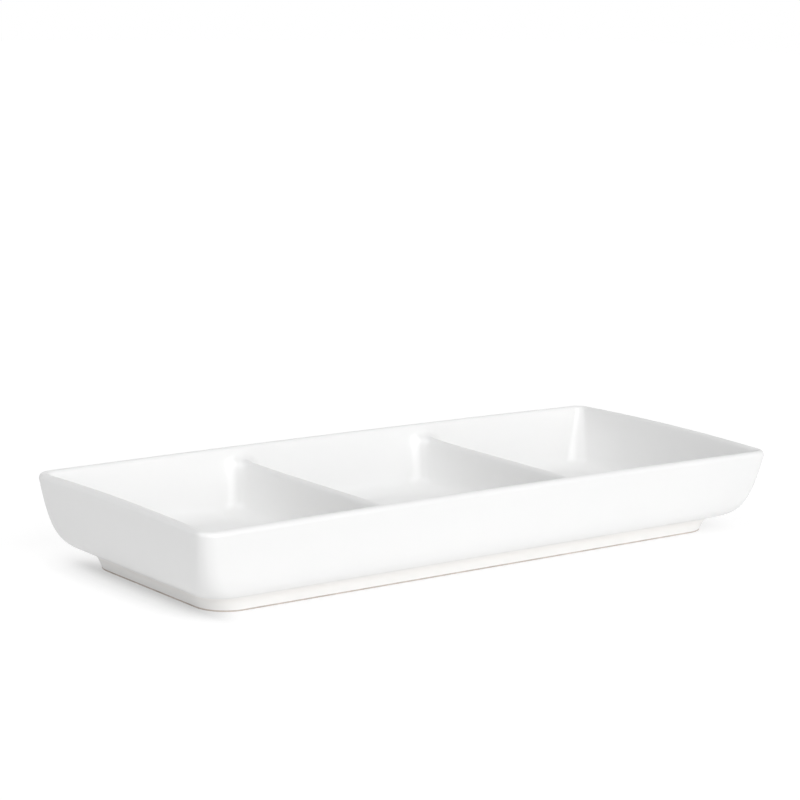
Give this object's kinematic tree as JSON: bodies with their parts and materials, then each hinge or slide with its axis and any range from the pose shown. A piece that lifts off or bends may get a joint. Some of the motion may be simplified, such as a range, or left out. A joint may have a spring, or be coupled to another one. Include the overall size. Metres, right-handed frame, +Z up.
{
  "type": "compartment dip dish",
  "caption": "Rectangular glazed ceramic dip dish, split by low cross dividers into side-by-side sauce compartments, on a smaller rectangular foot ring.",
  "frame": {"origin": "on the table, under the middle of the dish", "axes": "+X along the dish, +Y across it, +Z up"},
  "size_m": [0.23, 0.094, 0.0293],
  "materials": {
    "white_glaze": "soft gloss",
    "bare_clay": "matte"
  },
  "bodies": {
    "root": {"dish_shell": "white_glaze", "left_divider": "white_glaze", "right_divider": "white_glaze", "foot_ring": "white_glaze", "bare_foot_edge": "bare_clay"}
  },
  "joints": []
}
